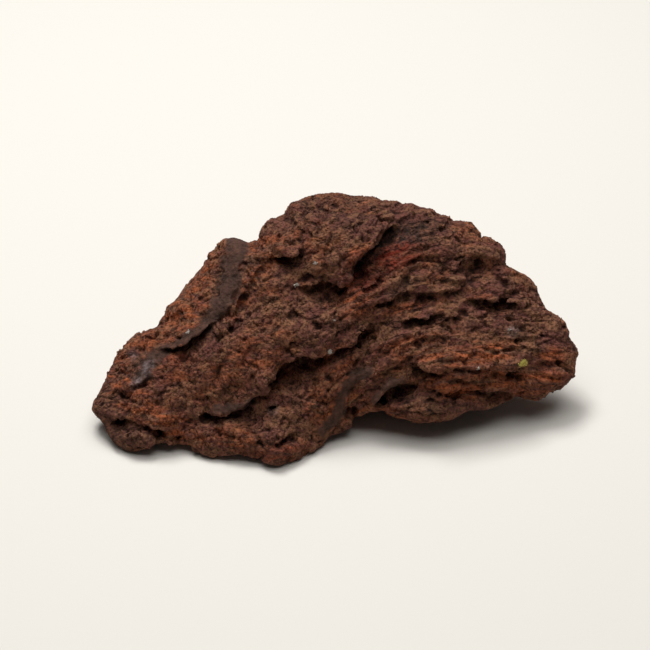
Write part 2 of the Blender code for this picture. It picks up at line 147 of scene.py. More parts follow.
rock = {
    "pitch": 37.1,  # how the broad face lies, degrees
    "roll": -1.6,
    "height": 37.2,  # of the face's origin over the ground, mm
    "taper": 751.0,  # the face narrows towards the viewer by this distance, mm
    "boxMiddle": (3.35, 11.19),  # where the box's middle lies on the ground, mm
    "faceMiddle": (5.0, 10.0),
    "frontCrown": 14.0,  # how far the middle stands out of the face
    "backCrown": -68.0,  # how far back the rock reaches, in its middle and at its ends
    "backEnds": -34.0,
    # each foot's place across and back, and its radius
    "feet": ((-79, -24, 17), (-46, -26, 22), (-20, -31, 26), (48, 14, 24), (4, 42, 26)),
    "footDepth": 3.0,  # cut off under each foot
    "clearance": 3.5,  # of the rest of the underside
    "underside": (30.0, 3.0),  # size and lift of its swells
    "footEdge": (13.0, 0.5),  # size and reach of the raggedness round each foot
    "soleRounding": 1.2,
    "lean": 0.4,  # how far what stands out hangs down the face
    "wobble": (6.0, 1.6),  # size and reach of the unsteadiness of every drawn line, mm
    "layer": (6.5, 2.4),  # pitch and lift of the flow layers
    "crumb": (11.0, 2.5),  # size and lift, as in the next two
    "lump": (17.0, 1.8),
    "backLump": (38.0, 9.0),
    "bandEnd": (-23.0, 14.0, 9.0),  # where the smooth bands die out, over what depth, how raggedly
    "paintEnd": (-20.0, 12.0),  # where the patches of colour end behind the rim, and over what depth
    "sphereLevel": 8,
    "voxel": 0.55,
    "fineVoxel": 0.5,
    "finestVoxel": 0.45,
    "backLimit": -24.0,  # behind this the skin is thinned first, by this share
    "backLoss": 0.7,
    "triangles": 196000,  # about as many are left
}

# Rim of the broad face, anticlockwise from the right end, mm across and up the face
rimLine = (
    (102.5, -12), (100.5, -5), (98, 1), (92, 5.5), (87.5, 12), (84, 18), (78, 22.5),
    (73, 25), (73.5, 29), (71, 33), (63.5, 37.5), (59.5, 41.5), (51.5, 41.8), (45, 45.8),
    (43, 47.5), (38.5, 48), (35, 49.5), (32, 49), (30, 50.5), (21.5, 51.5), (11, 51.5),
    (5, 53.3), (-5.5, 52), (-14, 49), (-16, 44.5), (-22.5, 43), (-26, 39.5), (-27, 35),
    (-31, 33.5), (-37, 35), (-41, 34), (-44, 31), (-47.5, 27), (-52, 20.5), (-56.5, 16.5),
    (-60, 11), (-64, 8), (-65, 4), (-67.5, -0.5), (-77, -3.5), (-82.5, -9), (-85.5, -14),
    (-89.5, -23), (-91, -27), (-94, -31), (-94.5, -34), (-91, -39.5), (-88.5, -43),
    (-86, -48), (-83, -50.5), (-73, -51.5), (-67.5, -49), (-62, -44.5), (-57.5, -48),
    (-52.5, -52), (-44.5, -54), (-34.5, -52.2), (-27, -55), (-18, -57), (-10, -55),
    (2, -46), (8, -44), (11.3, -42), (11, -38), (18, -35), (22, -34.8), (28.5, -37.5),
    (46.5, -38.7), (51.5, -38.5), (58.5, -35), (67, -34.2), (79, -29.2), (87, -29.5), (92.5, -26.5),
    (96.5, -25), (101, -21.5), (101, -16.5),
)

# Depth of the rim by its bearing round the face's middle: degrees, mm
rimDepth = (
    (-180, -14), (-165, -12), (-156, -3), (-148, 3), (-140, 6), (-130, 9), (-110, 13), (-100, 9), (-94, 3),
    (-83, 1), (-69, 6), (-50, 8), (-36, 5), (-25, 1), (-13, -5), (0, -8), (42, -8), (90, -7), (135, -9),
    (155, -12), (180, -14),
)

# Ledges: lift of the lip, drop below it, reach above, width below, then the lip from left to right
ledges = (
    # the long fold that crosses the middle
    (2.0, 5.2, 14, 2.4, ((-35, -34.5), (-30, -31), (-24, -26.5), (-20.5, -22.5), (-17, -18.8))),
    (3.0, 7.2, 18, 3.2, ((-26, -28.5), (-20.5, -22.5), (-17, -18.8), (-12, -16.2), (-4, -14.6), (2, -14))),
    (2.5, 5.5, 12, 2.2, ((-5, -14.6), (2, -14), (8, -10.5), (14, -7), (18, -3), (21, 0.5))),
    # groove side of the roll on the left
    (1.0, 5.0, 6, 2.6, ((-69, -10.5), (-62, -9.5), (-56, -7.5), (-51, -4.5), (-47, -1), (-44, 3))),
    # right side of the ridge beside the roll
    (1.4, 2.6, 4, 1.8, ((-37, -1), (-34.8, 7), (-31, 15), (-27.5, 21), (-23, 26))),
    # shelf under the small upper lump
    (3.5, 6.5, 9, 3.2, ((-28, 27.5), (-23, 28), (-17, 28), (-12, 29), (-9, 33))),
    # right side of the top block
    (3.0, 5.8, 12, 3.6, ((10, 13.5), (12.5, 19), (12.7, 25), (15.5, 28.5), (20, 31), (25.5, 35.5), (28, 40))),
    # under the top block
    (1.0, 4.5, 8, 1.8, ((-12, 14.5), (-6, 14.6), (0, 14.8), (6, 14.4), (12, 15.2))),
    (0.8, 3.0, 5, 1.4, ((-12, 18.5), (-7, 19.3), (-2, 18.8), (4, 18.6))),
    # slots of the layered right half
    (0.8, 4.0, 6, 1.6, ((17, 7.8), (21, 8.5), (26, 9.2), (30, 10), (34, 11.2), (38, 12))),
    (0.8, 3.5, 6, 1.6, ((36, 11), (41, 10.8), (46, 11.5))),
    (1.0, 4.5, 8, 2.2, ((46, 10.5), (52, 12.5), (58, 13.5))),
    (0.8, 5.5, 9, 1.8, ((57, 8.5), (63, 8), (68, 7.6), (73, 7.4), (79, 9))),
    (0.8, 4.0, 7, 1.6, ((31, -0.5), (36, 1), (41, 0.8), (46, 3), (51, 4))),
    (0.8, 3.0, 7, 1.5, ((47, 0.8), (52, 1.5), (58, 2.2))),
    # the big lens and the ones under it
    (3.0, 3.2, 10, 1.8, ((33, -16.5), (40, -17.3), (47, -17.8), (52, -20), (60, -22), (64, -23.5))),
    (1.5, 2.8, 7, 1.4, ((63, -21), (68, -19), (73, -18.4), (78, -17.6), (84, -17.8))),
    (1.2, 2.5, 7, 1.3, ((82, -17), (88, -15.4), (94, -15), (102, -15.5))),
    (1.0, 2.5, 5, 1.5, ((40, -25.5), (47, -26), (53, -27), (60, -26.5))),
    (1.5, 3.6, 6, 1.8, ((70, -20.5), (76, -20), (82, -20.5))),
    # slot over the lower right lip
    (1.5, 7.0, 8, 1.8, ((19, -34), (22, -30), (26, -27.3), (31, -26.3), (38, -25.5))),
    (0.8, 2.5, 5, 1.3, ((40, -30), (46, -31), (52, -33))),
    # under the lower right side
    (1.5, 4.0, 5, 4.0, ((54, -29), (62, -27.5), (72, -27.3), (84, -27.5))),
    # undercut over the lower left lobe
    (2.5, 4.8, 9, 2.2, ((-89, -40), (-84, -38.8), (-79, -39.5), (-73, -41), (-67, -43.8), (-62, -45.5))),
    (1.0, 2.5, 4, 1.2, ((-69, -39.5), (-64, -39), (-59, -40))),
    # dark sheet and hollows in the lower left
    (1.5, 5.5, 7, 2.0, ((-50, -36), (-44, -37), (-38, -36.5), (-33, -35), (-28, -33.5))),
    (1.0, 3.0, 5, 1.4, ((-24, -33.5), (-21, -34.5), (-18, -34))),
    # toe
    (1.5, 3.0, 5, 1.6, ((-31, -46.5), (-26, -46), (-20, -46.5), (-14, -44.5), (-10, -43))),
    # left wing
    (1.5, 3.0, 6, 1.5, ((-56, 8), (-51, 10.5), (-46, 14))),
    (1.2, 3.5, 5, 1.6, ((-86, -30), (-82, -28), (-78, -25.5), (-74, -23.5), (-70, -19.5))),
    (1.0, 3.0, 5, 2.0, ((-66, 3), (-62, 3.2), (-57, 4.5))),
)

# Grooves: depth, half width, line
grooves = (
    (3.5, 1.2, ((-47, -5), (-40, -4), (-36, -0.5), (-35, 4))),
    (4.0, 1.4, ((-18, 41.8), (-13, 41), (-9.5, 38), (-9, 33))),
    (2.5, 1.2, ((1, 47.8), (5, 47.8), (9, 47.6))),
    (2.5, 1.2, ((61.5, 27), (61, 22), (58, 18), (59, 14))),
    (2.0, 0.9, ((-41, -13), (-43, -18), (-43, -25))),
    (2.5, 1.3, ((-19.5, -17), (-17, -16), (-16, -18))),
    (5.0, 1.6, ((13.5, -32.5), (11.5, -34), (9, -38))),
    (3.0, 1.3, ((69, 18.5), (72, 16.8), (75, 15.3))),
    (2.5, 1.1, ((93, -2.8), (95.5, -2), (98, -1.6))),
    (3.0, 1.3, ((-71, -21), (-70, -23), (-68.8, -25))),
    (3.0, 1.3, ((-21, -32.5), (-20.5, -35), (-22, -37))),
)

# Rolls: height, half width at each end, line
rolls = (
    (3.0, 5.0, 4.2, ((-34.5, 47), (-36.2, 37), (-36.6, 30), (-38.2, 22), (-40.4, 13), (-42, 8))),
    (3.0, 4.4, 2.9, ((-40.6, 12.5), (-43.6, 6), (-45.8, 3), (-47.5, 0.7))),
    (3.0, 2.9, 2.0, ((-45.3, 4), (-47.2, 0.8), (-52.8, -3.8), (-58, -6.6), (-64, -9.1))),
    (1.4, 2.8, 4.4, ((-61, -8.2), (-66, -10.8), (-71, -13.8), (-76, -17))),
    (1.2, 3.0, 1.5, ((-70, -17), (-73.5, -20.5), (-76.5, -24))),
    (0.8, 2.0, 2.6, ((21, -17.6), (12.4, -20.6), (8.6, -24.5), (7.2, -28), (6.4, -31))),
    (0.8, 2.6, 2.2, ((7.2, -28), (6.1, -34.1), (2.6, -39.3), (-1.4, -43.4), (-3.2, -45.7))),
    (0.8, 1.8, 1.8, ((34, -21.5), (28, -23), (24, -25.5), (21, -29.5), (18.5, -33))),
    (1.0, 2.2, 1.6, ((-47, -33.8), (-39, -34), (-31, -31.5), (-27, -29.5))),
)

# Lumps, or hollows when negative: height, middle, half sizes, slant in degrees
lumps = (
    (5.0, (3, 38), (20, 14), 0),
    (4.0, (-19, 35), (9, 7), 10),
    (-5.0, (34, 37), (11, 6), 15),
    (-4.0, (24, 27), (13, 6), 15),
    (-4.5, (58, 19), (11, 10), 20),
    (3.0, (68, 29), (10, 7), -30),
    (-3.0, (66, 5), (12, 4), 0),
    (4.0, (52, -13), (26, 9), -8),
    (4.0, (40, -34), (20, 5.5), -3),
    (3.0, (50, -23), (12, 4), -10),
    (-5.0, (-13, -24), (10, 8), 25),
    (3.5, (-30, -46), (18, 9), -5),
    (3.0, (-18, -51), (9, 5), 15),
    (3.0, (-76, -46), (12, 5), -8),
    (3.0, (-90, -34), (6, 6), 0),
    (-3.0, (-82, -30), (6, 4), 30),
    (2.5, (-32, -12), (22, 14), 30),
    (2.0, (5, 2), (16, 8), 25),
    (-2.0, (0, 12), (12, 4), 0),
    (2.5, (95, -21), (8, 4), 10),
)

# Pits: depth, radius, middle
pits = (
    (3.0, 1.7, (38, -7)), (2.5, 1.5, (23, 37)), (2.5, 1.5, (48, 38.5)), (2.5, 2.0, (-14, 3.5)),
    (3.0, 2.2, (-3, 0)), (2.0, 1.4, (79.5, -11)), (3.5, 2.0, (-48, -37)), (4.0, 3.0, (-30, -37)),
    (1.5, 2.0, (60, 16)), (2.0, 1.6, (-88, -27)), (2.0, 1.4, (-77, -17.5)),
    (3.0, 2.5, (1, 10)), (2.5, 1.5, (32.5, 17.3)), (2.5, 2.0, (-57, -13)), (3.0, 1.8, (-9, -19.2)),
    (2.5, 1.4, (56.4, 4)),
)


def alongLine(a, b, line):  # distance from a line, positive on its left, and the length run along it
    line = np.array(line, float)
    best = np.full(a.shape, np.inf)
    side = np.ones(a.shape)
    run = np.zeros(a.shape)
    start = 0.0
    for (x0, y0), (x1, y1) in zip(line[:-1], line[1:]):
        dx, dy = x1 - x0, y1 - y0
        length = math.hypot(dx, dy)
        t = np.clip(((a - x0) * dx + (b - y0) * dy) / length**2, 0, 1)
        gap = np.hypot(a - x0 - t * dx, b - y0 - t * dy)
        near = gap < best
        best = np.where(near, gap, best)
        side = np.where(near, np.sign(dx * (b - y0) - dy * (a - x0)), side)
        run = np.where(near, start + t * length, run)
        start += length
    return best * side, run, start


def fadeEnds(run, length, ends):
    return smooth(run / ends) * smooth((length - run) / ends)


def addLedge(a, b, lift, drop, reach, width, line):
    d, run, length = alongLine(a, b, line)
    fade = fadeEnds(run, length, min(6.0, length / 3))
    lip = np.sqrt(np.clip(1 - np.clip(1 - d / (1.2 + 0.45 * lift), 0, 1) ** 2, 0, 1))
    above = lift * lip * np.exp(-np.clip(d, 0, None) / reach)
    below = -drop * np.exp(-((np.clip(-d, 0, None) / width) ** 2))
    return fade * np.where(d > 0, above - drop * (1 - smooth(d / 0.8)), below)


def addGroove(a, b, depth, width, line):
    d, run, length = alongLine(a, b, line)
    return -depth * fadeEnds(run, length, min(5.0, length / 3)) * np.exp(-((d / width) ** 2))


def addRoll(a, b, height, width0, width1, line):
    d, run, length = alongLine(a, b, line)
    width = width0 + (width1 - width0) * run / length
    return height * fadeEnds(run, length, 4.0) * np.clip(1 - (d / width) ** 2, 0, 1) ** 0.8


def inEllipse(a, b, middle, half, slant):
    c, s = math.cos(math.radians(slant)), math.sin(math.radians(slant))
    x = ((a - middle[0]) * c + (b - middle[1]) * s) / half[0]
    y = ((b - middle[1]) * c - (a - middle[0]) * s) / half[1]
    return x * x + y * y


def addLump(a, b, height, middle, half, slant):
    return height * np.clip(1 - inEllipse(a, b, middle, half, slant) / 2.2, 0, 1) ** 2


def addPit(a, b, depth, radius, middle):
    q = np.hypot(a - middle[0], b - middle[1]) / radius
    return -depth * np.clip(1 - q**2 / 2, 0, 1) ** 2


def relief(a, b):  # height of everything on the face, its lines made unsteady
    size, reach = rock["wobble"]
    place = np.stack((a, b, 0 * a), 1)
    a = a + reach * noiseAt(place, size, 7)
    b = b + reach * noiseAt(place, size, 8)
    w = np.zeros(a.shape)
    kinds = {addLump: lumps, addLedge: ledges, addGroove: grooves, addRoll: rolls, addPit: pits}
    for kind, things in kinds.items():
        for thing in things:
            w += kind(a, b, *thing)
    return w


def smoothness(a, b):  # 1 on the bands that flowed smooth, 0 on the rough rock, ragged between
    place = np.stack((a, b, 0 * a), 1)
    ragged = 0.6 * noiseAt(place, 7.0, 12) + 0.8 * noiseAt(place, 2.4, 13)
    share = np.zeros(a.shape)
    for _, width0, width1, line in rolls:
        d, run, length = alongLine(a, b, line)
        width = width0 + (width1 - width0) * run / length
        across = smooth(1.55 - 1.15 * np.abs(d) / width + ragged)
        share = np.maximum(share, across * fadeEnds(run, length, 3.0))
    return share


def bandAt(a, b, w):  # the smooth bands die out raggedly past the rim
    limit, depth, reach = rock["bandEnd"]
    ragged = reach * noiseAt(np.stack((a, b, w), 1), 8.0, 14)
    return smoothness(a, b) * smooth((w - limit + ragged) / depth)


def rimRadius(bearing):
    rim = np.array(rimLine) - rock["faceMiddle"]
    rimBearing = np.arctan2(rim[:, 1], rim[:, 0])
    order = np.argsort(rimBearing)
    return np.interp(bearing, rimBearing[order], np.hypot(*rim.T)[order], period=2 * math.pi)


def evenRadius(bearing):  # the rim's radius with its notches evened out
    swing = np.radians(np.linspace(-24, 24, 13))
    return sum(rimRadius(bearing + turn) for turn in swing) / len(swing)


def toRim(a, b):  # share of the way from the face's middle to its rim
    x, y = a - rock["faceMiddle"][0], b - rock["faceMiddle"][1]
    return np.hypot(x, y) / rimRadius(np.arctan2(y, x))


def baseShape(unit):  # face coordinates (across, up, out) of the plain lump
    x, y, z = unit.T
    r = np.clip(np.hypot(x, y), 0, 1)
    bearing = np.arctan2(y, x)
    radius = rimRadius(bearing)
    radius += (0.97 * evenRadius(bearing) - radius) * smooth((-z - 0.1) / 0.35)
    depths = np.array(rimDepth, float)
    rimOut = np.interp(np.degrees(bearing), depths[:, 0], depths[:, 1])
    a = rock["faceMiddle"][0] + r * radius * np.cos(bearing)
    b = rock["faceMiddle"][1] + r * radius * np.sin(bearing)
    front = np.clip(1 - r**2.2, 0, 1) ** 0.6
    back = np.clip(1 - r**2, 0, 1) ** 0.5
    crown = rock["backCrown"] + (rock["backEnds"] - rock["backCrown"]) * smooth(np.abs(a + 10) / 110)
    w = np.where(z > 0, rimOut + (rock["frontCrown"] - rimOut) * front, rimOut + (crown - rimOut) * back)
    return a, b, w, z


def toWorld(a, b, w):
    pitch, roll = math.radians(rock["pitch"]), math.radians(rock["roll"])
    shrink = 1 - w / rock["taper"]
    u, v = a * shrink, b * shrink
    across = u * math.cos(roll) - v * math.sin(roll)
    up = u * math.sin(roll) + v * math.cos(roll)
    y = up * math.sin(pitch) - w * math.cos(pitch)
    z = rock["height"] + up * math.cos(pitch) + w * math.sin(pitch)
    return np.stack((across, y, z), 1) * mm


def fromWorld(points):
    x, y, z = (points / mm).T
    pitch, roll = math.radians(rock["pitch"]), math.radians(rock["roll"])
    z = z - rock["height"]
    up = y * math.sin(pitch) + z * math.cos(pitch)
    w = z * math.sin(pitch) - y * math.cos(pitch)
    u = x * math.cos(roll) + up * math.sin(roll)
    v = up * math.cos(roll) - x * math.sin(roll)
    shrink = 1 - w / rock["taper"]
    return u / shrink, v / shrink, w


def seat(points):  # raises the underside off the ground, except at the feet
    x, y, z = (points / mm).T
    place = np.stack((x, y, 0 * x), 1)
    swell, lift = rock["underside"]
    ground = rock["clearance"] + lift * noiseAt(place, swell, 9)
    size, reach = rock["footEdge"]
    uneven = reach * noiseAt(place, size, 11)
    for footX, footY, radius in rock["feet"]:
        near = smooth(1.6 * (1 - np.hypot(x - footX, y - footY) / radius + uneven))
        ground = ground + (-rock["footDepth"] - ground) * near
    above = (z - ground) / rock["soleRounding"]
    z = ground + rock["soleRounding"] * np.logaddexp(0, above)
    return np.stack((x, y, z), 1) * mm


# The way the lava flowed: slope of the layers at places across the face, degrees
flowSlope = np.array((
    (-100, 10), (-80, 20), (-60, 38), (-42, 58), (-28, 55), (0, 32), (30, 16), (60, 3), (100, -10)
), float)
flowStep = 2.0
flowGrid = np.arange(-110.0, 111.0, flowStep)


def flowRise(a):
    slope = np.tan(np.radians(np.interp(flowGrid, flowSlope[:, 0], flowSlope[:, 1])))
    rise = np.concatenate(((0,), np.cumsum((slope[1:] + slope[:-1]) * 0.5 * flowStep)))
    return np.interp(a, flowGrid, rise)


def flowPlace(a, b, w):  # coordinates along the layers of the right half, across them, and out of the face
    step = flowStep / (1 + skin["stretch"] * smooth((flowGrid + 5) / 40))
    length = np.concatenate(((0,), np.cumsum((step[1:] + step[:-1]) / 2)))
    return np.stack((np.interp(a, flowGrid, length), b - flowRise(np.maximum(a, 0)), w), 1)


def layers(a, b, w):  # sawtooth layers that follow the flow, each standing proud at its lower edge
    across = b - flowRise(a)
    place = np.stack((a, across * 1.8, w * 1.2), 1)
    bend = noiseAt(place, 24.0, 1) * 1.5 + noiseAt(place, 9.0, 2) * 0.5
    phase = across / rock["layer"][0] + bend
    saw = 1 - (phase - np.floor(phase))
    comeAndGo = smooth(0.5 + 1.5 * noiseAt(place, 16.0, 4))
    return saw * smooth((1 - saw) / 0.12) * comeAndGo


def voxelRemesh(thing, size):
    remesh = thing.modifiers.new("Remesh", "REMESH")
    remesh.mode = "VOXEL"
    remesh.voxel_size = size * mm
    applyModifiers(thing)


def shapeFace(thing):
    a, b, w, z = baseShape(readPoints(thing.data))
    front = smooth((z + 0.12) / 0.3)
    height = relief(a, b) * front
    w = w + height
    b = b - rock["lean"] * height * front * smooth((1 - toRim(a, b)) * 6)
    writePoints(thing.data, seat(toWorld(a, b, w)))


def roughen(thing):  # layers and lumps over the whole rock, pushed out along its surface
    points = readPoints(thing.data)
    a, b, w = fromWorld(points)
    calm = 1 - 0.9 * smoothness(a, b) * smooth((w + 15) / 10)
    lift = rock["layer"][1] * (0.15 + 0.75 * smooth((a + 5) / 35))
    inMm = points / mm
    push = (layers(a, b, w) - 0.3) * lift
    push += (crumbsAt(inMm, rock["crumb"][0], 5) - 0.5) * rock["crumb"][1]
    push += noiseAt(inMm, rock["lump"][0], 6) * rock["lump"][1]
    push *= 1 - 0.6 * smooth((toRim(a, b) - 0.86) / 0.1)
    push += noiseAt(inMm, rock["backLump"][0], 10) * rock["backLump"][1] * smooth((-5 - w) / 25)
    writePoints(thing.data, points + readNormals(thing.data) * (push * calm * mm)[:, None])


def keepLargestSkin(thing):  # drops the bubbles that closed-up folds leave inside
    edges = readEdges(thing.data)
    label = np.arange(len(thing.data.vertices))
    while True:  # the lowest label spreads along the edges
        low = np.minimum(label[edges[:, 0]], label[edges[:, 1]])
        new = label.copy()
        np.minimum.at(new, edges[:, 0], low)
        np.minimum.at(new, edges[:, 1], low)
        new = new[new]
        if (new == label).all():
            break
        label = new
    keep = label == np.bincount(label).argmax()
    with editing(thing.data) as bm:
        bmesh.ops.delete(bm, geom=[v for v in bm.verts if not keep[v.index]], context="VERTS")
    print("bubbles dropped:", int((~keep).sum()), "points")


def closeHoles(bm):
    bmesh.ops.holes_fill(bm, edges=[edge for edge in bm.edges if edge.is_boundary], sides=0)


def mendSkin(thing):  # thinning can leave doubled faces: they go, and what they leave open is closed again
    thing.data.validate()
    with editing(thing.data) as bm:
        for _ in range(3):
            crowded = [face for face in bm.faces if any(len(edge.link_faces) > 2 for edge in face.edges)]
            bmesh.ops.delete(bm, geom=crowded, context="FACES")
            closeHoles(bm)
        bmesh.ops.triangulate(bm, faces=bm.faces[:])


def cutSole(thing):  # flat feet, all in the plane of the ground
    with editing(thing.data) as bm:
        bmesh.ops.bisect_plane(
            bm, geom=bm.verts[:] + bm.edges[:] + bm.faces[:], dist=1e-6,
            plane_co=(0, 0, 0), plane_no=(0, 0, 1), clear_inner=True
        )
        closeHoles(bm)
        bmesh.ops.triangulate(bm, faces=bm.faces[:])


skin = {
    "clodSize": 6.2,  # spacing of the rounded clods, mm
    "clodHeight": 1.9,
    "crumbSize": 3.0,  # spacing of the crumbs on them
    "crumbHeight": 0.85,
    "grainSize": 1.6,
    "grainHeight": 0.5,
    "crackSize": 8.0,  # spacing of the cracks
    "crackWidth": 0.8,
    "crackDepth": 1.9,
    "holeSize": 5.2,  # spacing of the deep holes
    "holeShare": 0.13,  # of the places where one could be
    "holeDepth": 2.3,
    "poreSize": 2.3,  # spacing of the gas pores
    "poreShare": 0.2,
    "poreDepth": 0.9,
    "streakSize": 3.6,  # spacing of the thin layers
    "streakHeight": 1.6,
    "stretch": 1.0,  # how much longer everything is along the layers of the right half
}


def makeSkinTree():
    tree, given = startTree("scoriaSkin", **{name: "Float" for name in skin if name != "stretch"})
    calm, layered, gravel = (
        addNode(tree, "GeometryNodeInputNamedAttribute", {"Name": name})
        for name in ("calm", "layered", "gravel")
    )
    flow = addNode(tree, "GeometryNodeInputNamedAttribute", {"Name": "flow"}, data_type="FLOAT_VECTOR")

    # everything is bent a little, so that nothing lines up
    bend = addNode(tree, "ShaderNodeTexNoise", {"Vector": flow, "Scale": 0.16, "Detail": 3.0}, "Color")
    bent = addNode(
        tree, "ShaderNodeVectorMath", {0: bend, 1: (5.0, 5.0, 5.0), 2: flow}, operation="MULTIPLY_ADD"
    )
    scales = {
        size: addNode(tree, "ShaderNodeMath", {0: 1.0, 1: given[size + " Size"]}, operation="DIVIDE")
        for size in ("Clod", "Crumb", "Grain", "Crack", "Hole", "Pore", "Streak")
    }

    # rounded clods, crumbs and grains, each on the larger one, with flat tops and sharp creases
    push = 0.0
    for size in ("Clod", "Crumb", "Grain"):
        cell = addNode(tree, "ShaderNodeTexVoronoi", {"Vector": bent, "Scale": scales[size]}, "Distance")
        lump = addNode(tree, "ShaderNodeMath", {0: cell, 1: cell}, operation="MULTIPLY")
        lump = addNode(tree, "ShaderNodeMath", {0: 0.3, 1: lump}, operation="SUBTRACT")
        height = given[size + " Height"]
        height = addNode(tree, "ShaderNodeMath", {0: height, 1: gravel}, operation="MULTIPLY")
        push = addNode(tree, "ShaderNodeMath", {0: lump, 1: height, 2: push}, operation="MULTIPLY_ADD")

    # cracks: the gaps between unsteady cells, open in some places and closed in others
    jagged = addNode(tree, "ShaderNodeTexNoise", {"Vector": flow, "Scale": 0.55, "Detail": 3.0}, "Color")
    jagged = addNode(
        tree, "ShaderNodeVectorMath", {0: jagged, 1: (3.0, 3.0, 3.0), 2: bent}, operation="MULTIPLY_ADD"
    )
    gap = addNode(
        tree, "ShaderNodeTexVoronoi", {"Vector": jagged, "Scale": scales["Crack"]}, "Distance",
        feature="DISTANCE_TO_EDGE"
    )
    gap = addNode(tree, "ShaderNodeMath", {0: gap, 1: given["Crack Size"]}, operation="MULTIPLY")
    gap = addNode(tree, "ShaderNodeMapRange", {0: gap, 1: given["Crack Width"], 2: 0.0})
    opened = addNode(tree, "ShaderNodeTexNoise", {"Vector": flow, "Scale": 0.11, "Detail": 2.0})
    opened = addNode(tree, "ShaderNodeMapRange", {0: opened, 1: 0.42, 2: 0.6, 4: given["Crack Depth"]})
    crack = addNode(tree, "ShaderNodeMath", {0: gap, 1: opened}, operation="MULTIPLY")
    push = addNode(tree, "ShaderNodeMath", {0: push, 1: crack}, operation="SUBTRACT")

    # holes and pores: round bites, only where a cell's own number is low
    for size in ("Hole", "Pore"):
        cell = addNode(tree, "ShaderNodeTexVoronoi", {"Vector": bent, "Scale": scales[size]}, "Distance")
        chance = addNode(tree, "FunctionNodeSeparateColor", {0: cell.node.outputs["Color"]}).node.outputs
        radius = addNode(tree, "ShaderNodeMath", {0: chance[1], 1: 0.2, 2: 0.13}, operation="MULTIPLY_ADD")
        inside = addNode(tree, "ShaderNodeMath", {0: cell, 1: radius}, operation="DIVIDE")
        inside = addNode(tree, "ShaderNodeMath", {0: inside, 1: 2.0}, operation="POWER")
        bite = addNode(tree, "ShaderNodeMath", {0: 1.0, 1: inside}, operation="SUBTRACT", use_clamp=True)
        share = given[size + " Share"]
        there = addNode(tree, "ShaderNodeMath", {0: chance[0], 1: share}, operation="LESS_THAN")
        bite = addNode(tree, "ShaderNodeMath", {0: bite, 1: there}, operation="MULTIPLY")
        depth = addNode(tree, "ShaderNodeMath", {0: given[size + " Depth"], 1: gravel}, operation="MULTIPLY")
        bite = addNode(tree, "ShaderNodeMath", {0: bite, 1: depth}, operation="MULTIPLY")
        push = addNode(tree, "ShaderNodeMath", {0: push, 1: bite}, operation="SUBTRACT")

    # thin layers: steps across the flow
    flat = addNode(tree, "ShaderNodeVectorMath", {0: bent, 1: (0.25, 1.0, 0.35)}, operation="MULTIPLY")
    wide = scales["Streak"]
    streak = addNode(
        tree, "ShaderNodeTexNoise", {"Vector": flat, "Scale": wide, "Detail": 2.0, "Roughness": 0.6}
    )
    streak = addNode(tree, "ShaderNodeMath", {0: streak, 1: 0.5}, operation="SUBTRACT")
    streak = addNode(tree, "ShaderNodeMath", {0: streak, 1: given["Streak Height"]}, operation="MULTIPLY")
    push = addNode(tree, "ShaderNodeMath", {0: streak, 1: layered, 2: push}, operation="MULTIPLY_ADD")

    for share in (calm, mm):
        push = addNode(tree, "ShaderNodeMath", {0: push, 1: share}, operation="MULTIPLY")
    normal = addNode(tree, "GeometryNodeInputNormal")
    offset = addNode(tree, "ShaderNodeVectorMath", {0: normal, "Scale": push}, operation="SCALE")
    moved = addNode(tree, "GeometryNodeSetPosition", {"Geometry": given["Geometry"], "Offset": offset})
    return endTree(tree, moved, given["Material"])


def runTree(thing, tree, values):  # every input is set by its socket's identifier
    modifier = thing.modifiers.new(tree.name, "NODES")
    modifier.node_group = tree
    values = {titled(name): value for name, value in values.items()}
    for item in tree.interface.items_tree:
        if item.in_out == "INPUT" and item.name in values:
            modifier[item.identifier] = values[item.name]
    applyModifiers(thing)


def setAttribute(mesh, name, values, kind="FLOAT"):
    old = mesh.attributes.get(name)
    if old:
        mesh.attributes.remove(old)
    layer = mesh.attributes.new(name, kind, "POINT")
    if kind == "FLOAT":
        layer.data.foreach_set("value", np.asarray(values, float))
    else:
        layer.data.foreach_set("vector", np.asarray(values, float).ravel())


# Patches: strength, middle, half sizes, slant in degrees
rustPatches = (
    (1.0, (-57, 7), (9, 9), 40), (0.9, (-51, 20), (5, 9), -25), (0.8, (-70, -8), (14, 5), 15),
    (1.0, (-84, -22), (6, 8), 30), (0.9, (-78, -30), (9, 5), -20), (1.0, (-66, -38), (12, 4), -15),
    (1.0, (-56, -44), (8, 3), -25), (0.6, (-62, -18), (10, 6), -20), (1.0, (-31.5, 16), (12, 2.4), 64),
    (0.8, (-24, 33), (8, 3), 15), (0.8, (-20, 27.5), (6, 2), 0), (0.5, (-3, 33), (5, 8), 0),
    (0.9, (14, 29), (6, 3), 30), (0.9, (12, 10), (6, 6), 20), (0.9, (52, -13), (16, 4), -8),
    (1.3, (67, -11.2), (7.5, 3.2), 0), (1.3, (52, -25), (11, 5), -10), (1.0, (73, -22), (12, 4), -5),
    (0.9, (92, -13), (6, 4), 0), (1.1, (86, -24), (11, 4), 10), (0.8, (5, -17), (8, 8), 40),
    (0.7, (12, -33), (6, 6), 60), (0.7, (24, -36), (10, 3), 0), (0.8, (-20, -51), (11, 4), 10),
    (0.9, (-36, -46), (8, 5), -20), (0.7, (-26, -10), (12, 8), 30), (0.6, (-40, -20), (8, 8), 0),
    (0.7, (30, 7), (10, 3), 15), (0.6, (62, 38), (10, 4), -10), (0.8, (-1, -32), (6, 9), 0),
    (1.2, (-62, -44), (8, 2.5), -15), (0.8, (36, -8), (14, 3), 10),
)
